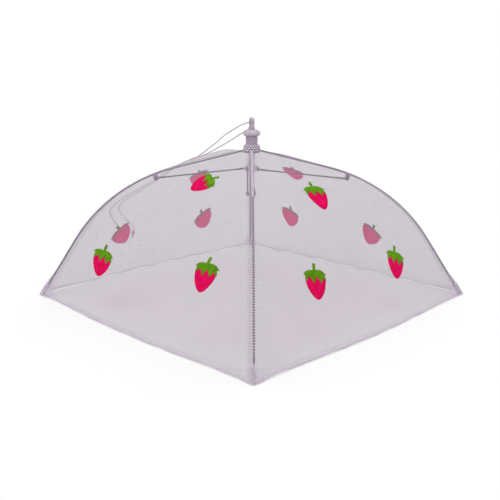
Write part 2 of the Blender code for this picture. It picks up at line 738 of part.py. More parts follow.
def rib_azimuth(index):
    """Direction of a rib about Z: the front rib points along -Y, and the rest follow it round."""
    return math.pi / 2 * (index - 1)


def empty(name, collection, place, turn, parent=None):
    thing = add_object(name, None, collection)
    thing.location = place
    thing.rotation_euler = turn
    thing.parent = parent
    return thing


def build_hub():
    root = empty("hub_axis", guides, (0, 0, PIVOT_HEIGHT), (0, 0, 0))
    finish("hub_crown", crown_mesh(), PLASTIC, cover, root)
    finish("hub_cap", flange_mesh(), PLASTIC, cover, root)
    finish("finial", finial_mesh(), PLASTIC, cover, root)
    ring = torus("ring", 2 * RIB_PIVOT_RADIUS, TIE_WIRE_DIAMETER, (0, 0, 0), TURN_STEPS, PIN_STEPS)
    finish("hub_tie_ring", share(ring), WIRE, cover, root)
    return root


def build_ribs():
    meshes = {
        "rib": (rib_mesh(), WIRE),
        "tip_cap": (tip_cap_mesh(), PLASTIC),
        "bracket": (bracket_mesh(), PLASTIC),
        "rivet": (rivet_mesh(), RIVET_METAL),
    }
    stretcher = stretcher_mesh()
    x, z = bracket_pivot()
    _, slope = stretcher_shape()
    halves = {1: net_mesh(1), -1: net_mesh(-1)}
    for index, name in enumerate(RIB_NAMES):
        turn = rib_azimuth(index)
        place = (RIB_PIVOT_RADIUS * math.cos(turn), RIB_PIVOT_RADIUS * math.sin(turn), PIVOT_HEIGHT)
        axis = empty(f"rib_axis_{name}", guides, place, (0, 0, turn))
        for kind, (mesh, look) in meshes.items():
            finish(f"{kind}_{name}", mesh.copy(), look, cover, axis)
        rivet_axis = empty(f"rivet_axis_{name}", guides, (x, 0, z), (0, math.pi + slope, 0), axis)
        finish(f"stretcher_{name}", stretcher.copy(), WIRE, cover, rivet_axis)
        for side, mesh in halves.items():
            beside = RIB_NAMES[(index + side) % len(RIB_NAMES)]
            corner = (0, RIB_PIVOT_RADIUS * side, 0)
            fold = empty(f"net_axis_{name}_{beside}", guides, corner, (0, 0, 0), axis)
            finish(f"net_{name}_{beside}", mesh.copy(), NET, cover, fold)


def build_runner():
    axis = empty("runner_axis", guides, (0, 0, RUNNER_HEIGHT), (0, 0, 0))
    finish("runner", runner_mesh(), PLASTIC, cover, axis)
    knot_centre = (0, 0, -RUNNER_BELOW_PIVOT - GAP - STOP_KNOT_HEIGHT / 2)
    knot = knot_mesh(STOP_KNOT_DIAMETER, STOP_KNOT_HEIGHT, knot_centre)
    finish("stop_knot", knot, CORD, cover, axis)
    cord_top = PIVOT_HEIGHT + FINIAL_SEAT + CROSS_HOLE_AT - CORD_DIAMETER / 2 - GAP
    run = [Vector((0, 0, cord_top)), Vector((0, 0, RUNNER_HEIGHT - RUNNER_BELOW_PIVOT))]
    cord = baked(wire_curve("draw_cord", run, DRAW_CORD_DIAMETER), axis.matrix_world.inverted())
    finish("draw_cord", share(cord), CORD, cover, axis)


def build_pull_cord(root):
    for index, name in enumerate(("pull_cord_a", "pull_cord_b")):
        strand = wire_curve(name, cord_route(index), CORD_DIAMETER)
        finish(name, share(baked(strand)), CORD, cover, root)
    centre = on_net(*KNOT_PLACE, KNOT_DIAMETER / 2 + GAP)
    finish("pull_knot", knot_mesh(KNOT_DIAMETER, KNOT_HEIGHT, centre), CORD, cover, root)


clear_scene()
cover = make_collection("food_cover")
guides = make_collection("axes")
scratch = make_collection("scratch")
build_pull_cord(build_hub())
build_ribs()
build_runner()
bpy.data.collections.remove(scratch)
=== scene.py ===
"""Mesh food cover umbrella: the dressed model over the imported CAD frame.

Everything is in metres in the CAD's frame. The net panels, hems, seams, corner pockets and
fruit patches, the hub's beaded crown, the cords and the knots are built here. The other CAD
nodes stay, with better materials.
"""
import math

import bmesh
import bpy
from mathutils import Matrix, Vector
from mathutils.geometry import delaunay_2d_cdt


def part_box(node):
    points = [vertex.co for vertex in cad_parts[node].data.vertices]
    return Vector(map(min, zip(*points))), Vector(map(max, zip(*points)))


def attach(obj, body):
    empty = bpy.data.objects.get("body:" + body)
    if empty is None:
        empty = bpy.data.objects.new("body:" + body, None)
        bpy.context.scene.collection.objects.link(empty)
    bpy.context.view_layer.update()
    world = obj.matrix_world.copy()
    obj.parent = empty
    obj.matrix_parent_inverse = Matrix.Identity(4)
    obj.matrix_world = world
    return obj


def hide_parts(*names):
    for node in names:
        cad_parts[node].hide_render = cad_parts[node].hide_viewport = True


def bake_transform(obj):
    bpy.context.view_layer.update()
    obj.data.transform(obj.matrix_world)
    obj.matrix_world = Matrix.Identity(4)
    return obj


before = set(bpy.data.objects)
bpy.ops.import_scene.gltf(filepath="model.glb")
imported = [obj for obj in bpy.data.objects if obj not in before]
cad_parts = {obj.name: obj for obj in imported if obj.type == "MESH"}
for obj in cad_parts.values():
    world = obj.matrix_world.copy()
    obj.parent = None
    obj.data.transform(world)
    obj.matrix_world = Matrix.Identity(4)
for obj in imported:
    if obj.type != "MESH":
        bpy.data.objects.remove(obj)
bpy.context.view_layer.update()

MM = 0.001
RIB_NAMES = ("front", "right", "back", "left")

# The rib's line, as in the CAD
PIVOT_RADIUS = 8.0 * MM
START_SLOPE = math.radians(13.9)
END_SLOPE = math.radians(57.0)
INNER_RUN = 83.0 * MM
BEND_RADIUS = 196.0 * MM
OUTER_RUN = 79.0 * MM
BEND_RUN = BEND_RADIUS * (END_SLOPE - START_SLOPE)
RIB_LENGTH = INNER_RUN + BEND_RUN + OUTER_RUN
CAP_RADIUS = 2.2 * MM

# The net's shape over the ribs. It lies NET_LIFT above the middle of the wire, and TIP_LIFT more
# over the cap on the rib's tip. At the hem's corners it is tucked in below the cap.
NET_TOP_RADIUS = 9.2 * MM
NET_LIFT = 1.15 * MM
TIP_LIFT = 2.1 * MM
TIP_LIFT_RUN = 34 * MM
TIP_LIFT_RISE = 24 * MM
TIP_LIFT_WIDTH = 4.4 * MM
TIP_TUCK = 4.2 * MM
TIP_TUCK_WIDTH = 14 * MM
TIP_TUCK_POWER = 30
HEM_FLARE_WIDTH = 26 * MM
HEM_FLARE_RUN = 14 * MM
HEM_HEIGHT = 0.8 * MM
HEM_BOW = 1.3 * MM
HEM_POWER = 6
HEM_CORNER_POWER = 14
HEM_WIDTH = 11.5 * MM
LOWEST_NET = 0.15 * MM

# Each panel's bulge. Its full height comes after BULGE_START of the way down from the hub, and
# within ROUND_SHARE of the way the net is round, as the hub is.
NET_BULGES = 8.0 * MM, 5.5 * MM, 10.5 * MM, 8.0 * MM
BULGE_START = 0.2
ROUND_SHARE = 0.10

# Waves of the hem, creases from the corners and slow waves of the cloth. The phases keep the
# panels and their halves from looking alike.
HEM_WAVE = 1.5 * MM
HEM_WAVE_LENGTHS = 9.1 * MM, 5.3 * MM
HEM_WAVE_PHASES = 2.1, 4.4
HEM_WAVE_MEAN, HEM_WAVE_SWING = 0.55, 0.32
HEM_WAVE_POWER = 8
PANEL_PHASE, HALF_PHASE = 1.7, 2.3
CREASE_HEIGHT = 0.5 * MM
CREASE_TURNS = 8
CREASE_START = 20 * MM
CREASE_FADE_START = 30 * MM
CREASE_FADE_RUN = 80 * MM
SLOW_WAVE_HEIGHT = 0.3 * MM
SLOW_WAVE_LENGTHS = 19 * MM, 27 * MM
SLOW_WAVE_MARGINS = 40 * MM, 90 * MM


def smooth_step(value):
    value = min(max(value, 0), 1)
    return value * value * (3 - 2 * value)


def rib_point(run):
    """Radius, height from the pivot and slope of the rib after this run of wire."""
    inner = min(run, INNER_RUN)
    bend = min(max(run - INNER_RUN, 0), BEND_RUN)
    outer = max(run - INNER_RUN - BEND_RUN, 0)
    slope = START_SLOPE + bend / BEND_RADIUS
    radius = PIVOT_RADIUS + inner * math.cos(START_SLOPE) + outer * math.cos(END_SLOPE)
    radius += BEND_RADIUS * (math.sin(slope) - math.sin(START_SLOPE))
    height = -inner * math.sin(START_SLOPE) - outer * math.sin(END_SLOPE)
    height += BEND_RADIUS * (math.cos(slope) - math.cos(START_SLOPE))
    return radius, height, slope


PIVOT_HEIGHT = CAP_RADIUS - rib_point(RIB_LENGTH)[1]
NET_TOP_RUN = (NET_TOP_RADIUS - PIVOT_RADIUS) / math.cos(START_SLOPE)


def half_width(run):
    """Half the straight distance between two ribs at this run."""
    return rib_point(run)[0] / math.sqrt(2)


def tip_lift(run):
    """How much more the net stands off the rib as it nears the cap on the rib's tip."""
    return TIP_LIFT * smooth_step((run - RIB_LENGTH + TIP_LIFT_RUN) / TIP_LIFT_RISE)


def wrinkle(panel, x, run):
    """How far the cloth stands out of its plain shape: creases from the corners and slow waves."""
    from_rib = half_width(run) - abs(x)
    from_tip = RIB_LENGTH - run
    reach = math.hypot(from_rib, from_tip)
    turn = math.atan2(from_rib, max(from_tip, 0) + 2 * MM)
    near = smooth_step(reach / CREASE_START)
    near *= 1 - smooth_step((reach - CREASE_FADE_START) / CREASE_FADE_RUN)
    phase = panel * PANEL_PHASE + (0 if x < 0 else HALF_PHASE)
    crease = CREASE_HEIGHT * near * math.sin(turn * CREASE_TURNS + phase)
    crease *= min(1, from_rib / (6 * MM))
    down_wave, across_wave = SLOW_WAVE_LENGTHS
    slow = math.sin(run / down_wave + phase) * math.sin(x / across_wave + 2 * phase)
    rib_margin, hub_margin = SLOW_WAVE_MARGINS
    inside_margins = smooth_step(from_rib / rib_margin) * smooth_step(run / hub_margin)
    return crease + SLOW_WAVE_HEIGHT * slow * inside_margins


def hem_lift(panel, x, share):
    """The hem hangs a little over the table in waves between the ribs."""
    edge = max(0, 1 - abs(x) / half_width(RIB_LENGTH))
    slow, fast = (
        math.sin(x / length + panel * phase)
        for length, phase in zip(HEM_WAVE_LENGTHS, HEM_WAVE_PHASES)
    )
    wave = HEM_WAVE_MEAN + HEM_WAVE_SWING * (slow + 0.7 * fast)
    return HEM_WAVE * wave * min(1, edge * 9) * share**HEM_WAVE_POWER


def panel_point(panel, x, run, lift=0.0):
    """A point of a panel. x is the distance across from the panel's middle, negative towards its
    first rib, and run is the length from the hub's pivot. Every panel is shaped as if it lay
    between the directions 0 and 90 degrees, and is then turned to its place."""
    down = (run - NET_TOP_RUN) / (RIB_LENGTH - NET_TOP_RUN)
    wide = half_width(run)
    across = 1 - min(abs(x) / wide, 1)
    radius, height, slope = rib_point(run)
    at_hem = smooth_step((run - RIB_LENGTH + HEM_FLARE_RUN) / HEM_FLARE_RUN)
    flare = TIP_LIFT_WIDTH + HEM_FLARE_WIDTH * at_hem
    over = NET_LIFT + tip_lift(run) * math.exp(-((wide - abs(x)) / flare) ** 2)
    tuck = TIP_TUCK * min(down, 1) ** TIP_TUCK_POWER
    tuck *= math.exp(-((wide - abs(x)) / TIP_TUCK_WIDTH) ** 2)
    radius += over * math.sin(slope) + tuck * math.cos(slope)
    height += over * math.cos(slope) - tuck * math.sin(slope)
    turn = across * math.pi / 4
    straight = radius / (math.cos(turn) + math.sin(turn))
    out = straight + (radius - straight) * max(0, 1 - down / ROUND_SHARE) ** 2
    crest = 1 - (1 - across) ** 2
    bulge = NET_BULGES[panel] * smooth_step(down / BULGE_START) * crest
    bulge += lift + wrinkle(panel, x, run)
    lean = math.atan(math.sqrt(2) * math.tan(slope))
    low_share = min(down, 1) ** HEM_POWER
    sideways = (bulge * math.sin(lean) + HEM_BOW * low_share * crest) / math.sqrt(2)
    hem = HEM_HEIGHT - PIVOT_HEIGHT
    hem += (height - hem) * (1 - across) ** HEM_CORNER_POWER
    height += bulge * math.cos(lean)
    height += (hem - height) * low_share + hem_lift(panel, x, min(down, 1))
    first, second = out * math.cos(turn) + sideways, out * math.sin(turn) + sideways
    if x > 0:
        first, second = second, first
    turn = math.pi / 2 * (panel - 1)
    cos, sin = math.cos(turn), math.sin(turn)
    height = max(height + PIVOT_HEIGHT, LOWEST_NET)
    return Vector((first * cos - second * sin, first * sin + second * cos, height))


def beside_rib(index, offset, run, lift=0.0):
    """A point of the net beside a rib, at this distance along the cloth to either side."""
    wide = half_width(run)
    if offset >= 0:
        return panel_point(index, min(offset, wide) - wide, run, lift)
    return panel_point((index - 1) % 4, wide + max(offset, -wide), run, lift)


# Materials


class Nodes:
    """A short way to write a node material."""

    def __init__(self, name):
        self.material = bpy.data.materials.new(name)
        self.material.use_nodes = True
        self.tree = self.material.node_tree
        self.shader = self.tree.nodes["Principled BSDF"]

    def add(self, kind, **values):
        node = self.tree.nodes.new(kind)
        for key, value in values.items():
            if hasattr(node, key):
                setattr(node, key, value)
            else:
                node.inputs[key].default_value = value
        return node

    def link(self, source, target):
        self.tree.links.new(source, target)

    def set(self, **values):
        for key, value in values.items():
            self.shader.inputs[key.replace("_", " ")].default_value = value

    def math(self, operation, a, b=None):
        node = self.add("ShaderNodeMath", operation=operation)
        for socket, value in zip(node.inputs, (a, b)):
            if isinstance(value, (int, float)):
                socket.default_value = value
            elif value is not None:
                self.link(value, socket)
        return node.outputs[0]

    def ramp(self, source, *stops):
        node = self.add("ShaderNodeValToRGB")
        while len(node.color_ramp.elements) < len(stops):
            node.color_ramp.elements.new(0.5)
        for element, (place, color) in zip(node.color_ramp.elements, stops):
            element.position = place
            element.color = (*color, 1)
        self.link(source, node.inputs["Fac"])
        return node.outputs["Color"]

    def noise(self, scale, detail, coords):
        node = self.add("ShaderNodeTexNoise", Scale=scale, Detail=detail)
        self.link(coords, node.inputs["Vector"])
        return node.outputs["Fac"]

    def coords(self, which="Object"):
        return self.add("ShaderNodeTexCoord").outputs[which]

    def uv(self):
        """Both measures of the UV map, in metres."""
        split = self.add("ShaderNodeSeparateXYZ")
        self.link(self.coords("UV"), split.inputs[0])
        return split.outputs[0], split.outputs[1]

    def wave(self, source, pitch):
        """A wave from 0 to 1 and back over each pitch."""
        angle = self.math("MULTIPLY", source, math.pi / pitch)
        return self.math("ABSOLUTE", self.math("SINE", angle))

    def blend(self, share, first, second):
        mix = self.add("ShaderNodeMix", data_type="RGBA")
        self.link(share, mix.inputs["Factor"])
        for socket, value in ((mix.inputs["A"], first), (mix.inputs["B"], second)):
            if isinstance(value, tuple):
                socket.default_value = (*value, 1)
            else:
                self.link(value, socket)
        return mix.outputs["Result"]

    def bump(self, height, strength, distance=0.2 * MM):
        node = self.add("ShaderNodeBump", Strength=strength, Distance=distance)
        self.link(height, node.inputs["Height"])
        self.link(node.outputs["Normal"], self.shader.inputs["Normal"])


def srgb(r, g, b):
    """An sRGB colour in 0..255 as linear numbers."""
    shares = [value / 255 for value in (r, g, b)]
    return tuple(c / 12.92 if c <= 0.04045 else ((c + 0.055) / 1.055) ** 2.4 for c in shares)


def hard(name, dark, pale, roughness, fine, metallic=0.0):
    """Moulded plastic or drawn wire: blotches of tone, uneven gloss and a fine grain."""
    m = Nodes(name)
    where = m.coords()
    tone = m.ramp(m.noise(fine, 4, where), (0.35, dark), (0.65, pale))
    m.link(tone, m.shader.inputs["Base Color"])
    low, high = roughness - 0.07, roughness + 0.1
    gloss = m.ramp(m.noise(fine * 3.5, 3, where), (0.3, (low,) * 3), (0.7, (high,) * 3))
    m.link(gloss, m.shader.inputs["Roughness"])
    m.bump(m.noise(fine * 9, 2, where), 0.12)
    m.set(Metallic=metallic, Specular_IOR_Level=0.4)
    return m.material


def beaded(name, groove_painted_shade, dark, pale):
    """Moulded plastic with painted light: painted shade in the grooves between the raised beads
    and a painted highlight on their tops.
    """
    m = Nodes(name)
    rise = m.add("ShaderNodeAttribute", attribute_name="rise").outputs["Fac"]
    grain = m.math("MULTIPLY", m.math("SUBTRACT", m.noise(260, 4, m.coords()), 0.5), 0.3)
    # Painted light from the rise attribute: painted shade in the grooves, a painted highlight on
    # the bead tops.
    tone = m.ramp(m.math("ADD", rise, grain), (0.02, groove_painted_shade), (0.4, dark), (0.85, pale))
    m.link(tone, m.shader.inputs["Base Color"])
    m.set(Roughness=0.36, Specular_IOR_Level=0.5)
    m.bump(m.noise(2400, 2, m.coords()), 0.12)
    return m.material


def open_net(name, pale, dark, pitch, least, most, edge=0.72, herringbone=False):
    """Open net from the UV map. Its holes let through all but the least share of the light, and
    its threads all but the most. The threads lie where the weave's waves are over the edge."""
    m = Nodes(name)
    across, along = m.uv()
    if herringbone:
        zigzag = m.math("MULTIPLY", m.wave(across, 2.4 * MM), 1.6 * MM)
        along = m.math("ADD", along, zigzag)
    thread = m.math("MAXIMUM", m.wave(across, pitch), m.wave(along, pitch))
    cover = m.math("GREATER_THAN", thread, edge)
    tone = m.ramp(m.noise(40, 3, m.coords("UV")), (0.3, dark), (0.7, pale))
    m.link(tone, m.shader.inputs["Base Color"])
    m.set(Roughness=0.9, Sheen_Weight=0.15, Specular_IOR_Level=0.1)
    alpha = m.math("ADD", m.math("MULTIPLY", cover, most - least), least)
    m.link(alpha, m.shader.inputs["Alpha"])
    m.bump(thread, 0.3)
    return m.material


def felt(name, pale, dark, fleck, spots):
    """Sewn-on patch cloth: short slanting threads, slow changes of tone and small dark spots."""
    m = Nodes(name)
    across, along = m.uv()
    slant = m.math("ADD", across, m.math("MULTIPLY", along, 0.6))
    ply = m.wave(slant, 0.9 * MM)
    tone = m.ramp(m.noise(160, 4, m.coords("UV")), (0.32, dark), (0.68, pale))
    tone = m.blend(m.math("MULTIPLY", m.math("SUBTRACT", 1.0, ply), 0.35), tone, dark)
    cells = m.add("ShaderNodeTexVoronoi", Scale=spots, Randomness=0.5)
    m.link(m.coords("UV"), cells.inputs["Vector"])
    near = m.math("LESS_THAN", cells.outputs["Distance"], 0.17)
    tone = m.blend(m.math("MULTIPLY", near, 0.75), tone, fleck)
    m.link(tone, m.shader.inputs["Base Color"])
    m.set(Roughness=0.95, Specular_IOR_Level=0.03)
    m.set(Subsurface_Weight=0.5, Subsurface_Scale=2 * MM)
    m.bump(ply, 0.3)
    return m.material


# The run of a cord in which its tone changes from the plain one to the paler painted-light one, in
# metres
PAINTED_LIGHT_START, PAINTED_LIGHT_END = 0.075, 0.11


def twisted_cord(name, pale, dark, painted_light_tone=None):
    """Twisted strands, from a UV map of length and turns. With a paler painted-light tone, the
    cord turns to it along its length: painted light where the cord lies in shade."""
    m = Nodes(name)
    length, turns = m.uv()
    along = m.math("MULTIPLY", length, 2 * math.pi / (2.2 * MM))
    around = m.math("MULTIPLY", turns, 4 * math.pi)
    ply = m.math("ABSOLUTE", m.math("SINE", m.math("ADD", along, around)))
    tone = m.ramp(ply, (0.1, dark), (0.6, pale))
    if painted_light_tone:
        painted_light_share = m.ramp(length, (PAINTED_LIGHT_START, (0, 0, 0)), (PAINTED_LIGHT_END, (1, 1, 1)))
        tone = m.blend(painted_light_share, tone, painted_light_tone)
    m.link(tone, m.shader.inputs["Base Color"])
    m.set(Roughness=0.9, Sheen_Weight=0.2)
    m.bump(ply, 0.5, 0.3 * MM)
    return m.material


# Plastic and metal
MAUVE = hard("mauve_plastic", srgb(176, 160, 176), srgb(196, 182, 196), 0.42, 260)
MAUVE_PALE = hard("mauve_plastic_pale", srgb(186, 172, 188), srgb(206, 194, 208), 0.4, 300)
MAUVE_DARK = hard("mauve_plastic_dark", srgb(146, 133, 149), srgb(166, 152, 168), 0.45, 260)
CAP = hard("cap_plastic", srgb(226, 211, 233), srgb(238, 225, 243), 0.42, 300)
RUNNER = hard("runner_plastic", srgb(212, 198, 214), srgb(228, 216, 230), 0.4, 300)
# The crown's colour holds painted light: painted shade in the grooves and a painted highlight on
# the beads.
CROWN = beaded(
    "mauve_plastic_beaded_painted_light", srgb(104, 90, 108), srgb(180, 164, 182), srgb(240, 230, 242)
)
WIRE = hard("dark_wire", srgb(82, 75, 86), srgb(116, 109, 120), 0.42, 500, 0.75)
RIVET = hard("rivet_steel", srgb(66, 58, 66), srgb(106, 98, 106), 0.38, 500, 0.6)

# Net, with its pitch and the least and most share of cover
NET = open_net("net_weave", srgb(186, 173, 188), srgb(178, 165, 181), 0.75 * MM, 0.15, 0.46)
HEM_NET = open_net("net_hem", srgb(226, 215, 228), srgb(216, 206, 219), 0.75 * MM, 0.06, 0.3)
POCKET = open_net("net_pocket", srgb(232, 220, 234), srgb(222, 210, 225), 0.75 * MM, 0.05, 0.32)
EDGE = open_net("net_edge", srgb(220, 208, 222), srgb(206, 194, 209), 0.7 * MM, 0.35, 0.7)
COVER = open_net("seam_cover", srgb(240, 230, 242), srgb(228, 218, 232), 0.8 * MM, 0.6, 0.92)
TAPE = open_net(
    "seam_weave", srgb(232, 222, 234), srgb(214, 204, 217), 0.9 * MM, 0.03, 0.22, 0.7, True
)

# Thread, cord and patch cloth
THREAD = twisted_cord("sewing_thread", srgb(216, 205, 218), srgb(184, 172, 188))
THREAD_DARK = twisted_cord("sewing_thread_dark", srgb(196, 186, 200), srgb(150, 139, 156))
THREAD_PALE = twisted_cord("sewing_thread_pale", srgb(232, 222, 234), srgb(206, 196, 210))
# From 75 to 110 mm along its length this cord turns paler: painted light for the pull cords' run
# over the back panel, in the canopy's shade.
CORD = twisted_cord(
    "cord_fibre", srgb(206, 197, 202), srgb(148, 138, 146), srgb(250, 244, 249)
)
# The pull knot's cord is all in that paler painted-light tone.
CORD_PAINTED_LIGHT = twisted_cord("cord_fibre_painted_light", srgb(250, 244, 249), srgb(206, 197, 204))
BERRY = felt("patch_red", srgb(240, 22, 102), srgb(216, 8, 82), srgb(176, 0, 60), 260)
# The inner face of the fruit patches is painted paler and pinker than the outer print: painted
# light standing in for light shining through the cloth.
BERRY_INNER_PAINTED_LIGHT = felt("patch_inner_painted_light", srgb(255, 50, 140), srgb(248, 38, 128), srgb(228, 30, 112), 260)
LEAF_GREEN = felt("patch_green", srgb(112, 168, 34), srgb(78, 138, 14), srgb(128, 134, 40), 150)


def make(name, mesh, material, body=None, replaced=None):
    """A new piece with its material, slot, the CAD node that it stands for, and its body."""
    thing = bpy.data.objects.new(name, mesh)
    bpy.context.scene.collection.objects.link(thing)
    mesh.materials.append(material)
    mesh.shade_smooth()
    if replaced:
        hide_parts(replaced)
    if body:
        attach(thing, body)
    return thing


def mapped(name, coords, uvs, faces):
    """A mesh with a UV map that has one place for each point."""
    mesh = bpy.data.meshes.new(name)
    mesh.from_pydata(coords, [], faces)
    layer = mesh.uv_layers.new(name="UVMap")
    for loop in mesh.loops:
        layer.data[loop.index].uv = uvs[loop.vertex_index]
    return mesh


def joined(name, meshes):
    """One mesh of several."""
    work = bmesh.new()
    for mesh in meshes:
        work.from_mesh(mesh)
    out = bpy.data.meshes.new(name)
    work.to_mesh(out)
    work.free()
    return out


def grid(name, point, columns, rows, flip=False):
    """A sheet through a grid of places. point gives a place and its UV."""
    coords, uvs, faces = [], [], []
    for i in range(rows + 1):
        for j in range(columns + 1):
            place, uv = point(j / columns, i / rows)
            coords.append(place)
            uvs.append(uv)
    for i in range(rows):
        for j in range(columns):
            a = i * (columns + 1) + j
            face = [a, a + 1, a + columns + 2, a + columns + 1]
            faces.append(face if flip else face[::-1])
    return mapped(name, coords, uvs, faces)


def thicken(thing, thickness):
    """Cloth of this thickness, built outward from the sheet."""
    solid = thing.modifiers.new("thickness", "SOLIDIFY")
    solid.thickness = thickness
    solid.offset = 1
    return solid


def tube(name, path, radius, sides=8, closed=False):
    """A tube along points, with a UV map of length in metres and turns."""
    count = len(path)
    tangents = []
    for i in range(count):
        a = path[(i - 1) % count] if closed or i else path[0]
        b = path[(i + 1) % count] if closed or i < count - 1 else path[-1]
        tangents.append((b - a).normalized())
    normal = tangents[0].orthogonal().normalized()
    coords, uvs, faces = [], [], []
    along = 0.0
    for i, (point, tangent) in enumerate(zip(path, tangents)):
        normal = (normal - tangent * normal.dot(tangent)).normalized()
        across = tangent.cross(normal)
        along += (point - path[i - 1]).length if i else 0
        for j in range(sides):
            turn = 2 * math.pi * j / sides
            coords.append(point + (normal * math.cos(turn) + across * math.sin(turn)) * radius)
            uvs.append((along, j / sides))
    for i in range(count if closed else count - 1):
        for j in range(sides):
            a, b = i * sides + j, i * sides + (j + 1) % sides
            c, d = ((i + 1) % count) * sides + (j + 1) % sides, ((i + 1) % count) * sides + j
            faces.append([a, b, c, d])
    if not closed:
        faces.append(list(range(sides))[::-1])
        faces.append([(count - 1) * sides + j for j in range(sides)])
    mesh = bpy.data.meshes.new(name)
    mesh.from_pydata(coords, [], faces)
    layer = mesh.uv_layers.new(name="UVMap")
    for polygon in mesh.polygons:
        turns = [uvs[mesh.loops[i].vertex_index][1] for i in polygon.loop_indices]
        wrap = len(turns) == 4 and max(turns) > 0.8 and min(turns) < 0.1
        for i in polygon.loop_indices:
            u, v = uvs[mesh.loops[i].vertex_index]
            layer.data[i].uv = (u, v + 1 if wrap and v < 0.1 else v)
    return mesh


def stitches(name, ends, thick):
    """A row of sewn stitches, each a short spindle of thread between two places."""
    coords, uvs, faces = [], [], []
    for a, b in ends:
        along = b - a
        side = along.cross(Vector((0, 0, 1)))
        side = (side if side.length > 0 else Vector((1, 0, 0))).normalized() * thick / 2
        up = along.cross(side).normalized() * thick / 2
        start, near, far, end = (len(coords) + step for step in (0, 1, 5, 9))
        coords.append(a)
        uvs.append((0, 0))
        for share in (0.22, 0.78):
            for i, out in enumerate((side, up, -side, -up)):
                coords.append(a + along * share + out)
                uvs.append((along.length * share, i / 4))
        coords.append(b)
        uvs.append((along.length, 0))
        for i in range(4):
            j = (i + 1) % 4
            faces.append([start, near + j, near + i])
            faces.append([end, far + i, far + j])
            faces.append([near + i, near + j, far + j, far + i])
    return mapped(name, coords, uvs, faces)


# The net: half a panel from each rib to the panel's middle, with its hem

# Sizes of the net's and hem's grids, and the hem's lifts, rolled edge and stitches.
NET_COLUMNS, NET_ROWS = 22, 50
HEM_COLUMNS, HEM_ROWS = 44, 4
HEM_LIFT = 0.35 * MM
HEM_EDGE_LIFT = 0.25 * MM
HEM_EDGE_RADIUS = 0.3 * MM
HEM_EDGE_STEPS = 60
HEM_STITCH_LIFT = 0.75 * MM
HEM_STITCH_RUNS = RIB_LENGTH - HEM_WIDTH + 1.2 * MM, RIB_LENGTH - 2.6 * MM
STITCH_PITCH = 3.1 * MM
STITCH_THICKNESS = 0.36 * MM

# Each half: its panel, its own rib, the panel's other rib, and the side of the panel's middle
HALVES = []
for panel, first_rib in enumerate(RIB_NAMES):
    second_rib = RIB_NAMES[(panel + 1) % 4]
    HALVES += [(panel, first_rib, second_rib, -1), (panel, second_rib, first_rib, 1)]


def on_half(panel, side, first_run, lift):
    """The places of a band of half a panel, across between its rib and the middle, and down."""

    def point(across, down):
        run = first_run + (RIB_LENGTH - first_run) * down
        x = side * (1 - across if side < 0 else across) * half_width(run)
        return panel_point(panel, x, run, lift), (x, run)

    return point


def hem_meshes(panel, side):
    """The hem's folded band and its rolled lower edge."""
    place = on_half(panel, side, RIB_LENGTH - HEM_WIDTH, HEM_LIFT)
    wide = half_width(RIB_LENGTH)
    edge = []
    for i in range(HEM_EDGE_STEPS):
        x = side * wide * i / HEM_EDGE_STEPS
        edge.append(panel_point(panel, x, RIB_LENGTH, HEM_EDGE_LIFT))
    return grid("band", place, HEM_COLUMNS, HEM_ROWS), tube("edge", edge, HEM_EDGE_RADIUS, 6)


def hem_stitches(panel, side):
    """Two rows of stitches, along the hem's top and near its lower edge."""
    ends = []
    for run in HEM_STITCH_RUNS:
        wide = half_width(run) - 3 * MM
        for i in range(int(wide / STITCH_PITCH)):
            a, b = (side * (i + share) * STITCH_PITCH for share in (0.14, 0.86))
            ends.append([panel_point(panel, x, run, HEM_STITCH_LIFT) for x in (a, b)])
    return stitches("stitches", ends, STITCH_THICKNESS)


for panel, own, other, side in HALVES:
    sheet = grid("net_half", on_half(panel, side, NET_TOP_RUN, 0), NET_COLUMNS, NET_ROWS)
    half = make(f"panel_{own}_{other}", sheet, NET, None, f"net_{own}_{other}")
    band, edge = hem_meshes(panel, side)
    hem = make(f"hem_{own}_{other}", band, HEM_NET)
    rolled = make(f"hem_edge_{own}_{other}", edge, EDGE)
    sewn = make(f"hem_stitches_{own}_{other}", hem_stitches(panel, side), THREAD_PALE)
    for piece in (half, hem, rolled, sewn):
        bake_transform(piece)

# Seams, thread and corner pockets along the ribs. Cloth that goes over the wire is FOLD_ROUND
# round at its fold.

SEAM_TOP_RUN = NET_TOP_RUN + 1 * MM
SEAM_LIFT = 0.2 * MM
COVER_END_RUN = 122 * MM
COVER_HALF_WIDTH = 1.05 * MM
COVER_LIFT = 0.25 * MM
FOLD_ROUND = 0.7 * MM
WRAP_PITCH = 2.5 * MM
WRAP_DISTANCE = 1.5 * MM
WRAP_HALF_WIDTH = 0.55 * MM
WRAP_HALF_THICKNESS = 0.2 * MM
WRAP_SLANT = 0.1 * MM
WRAP_TURN = math.radians(32)
WRAP_STEPS = 3
HERRINGBONE_ROWS = (-1.5 * MM, -2.8 * MM), (-4.4 * MM, -3.1 * MM)
HERRINGBONE_SLANT = 1.4 * MM
HERRINGBONE_LIFT = 0.45 * MM
HERRINGBONE_THICKNESS = 0.42 * MM
POCKET_HALF_WIDTH = 6.5 * MM
POCKET_LENGTH = 15 * MM
POCKET_DROP = 4.6 * MM
POCKET_LIFT = 0.45 * MM


def rib_frame(index, run):
    """The middle of a rib's wire, the ways across it and outward from it, and its slope."""
    turn = math.pi / 2 * (index - 1)
    along = Vector((math.cos(turn), math.sin(turn), 0))
    across = Vector((-math.sin(turn), math.cos(turn), 0))
    radius, height, slope = rib_point(run)
    outward = along * math.sin(slope) + Vector((0, 0, math.cos(slope)))
    centre = along * radius + Vector((0, 0, PIVOT_HEIGHT + height))
    return centre, across, outward, slope


